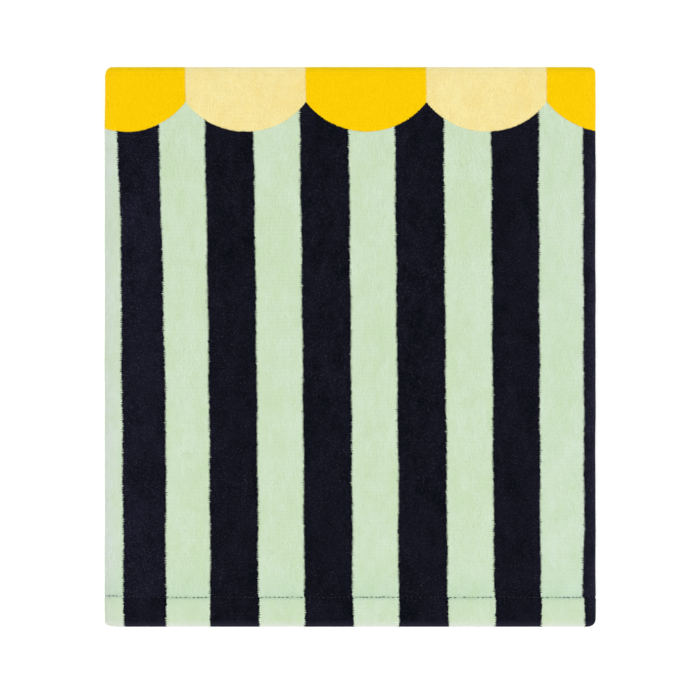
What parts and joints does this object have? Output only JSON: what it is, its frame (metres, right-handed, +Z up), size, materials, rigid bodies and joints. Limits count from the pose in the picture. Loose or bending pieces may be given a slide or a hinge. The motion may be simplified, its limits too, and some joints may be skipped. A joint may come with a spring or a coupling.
{
  "type": "folded bath towel",
  "caption": "Bath towel of sheared terry, folded flat into a rectangle of rounded layers, with a stitched hem along its near edge",
  "frame": {"origin": "centre of the underside, on the surface that the folded towel lies on", "axes": "+X across the towel, +Y from the hemmed edge to the far fold, +Z up from the surface"},
  "size_m": [0.38, 0.434, 0.0211],
  "materials": {
    "outer_terry": "matte",
    "hem_terry": "matte",
    "inner_terry": "matte"
  },
  "bodies": {
    "root": {"outer_cloth": "outer_terry", "end_hem": "hem_terry", "folded_layers": "inner_terry"}
  },
  "joints": []
}
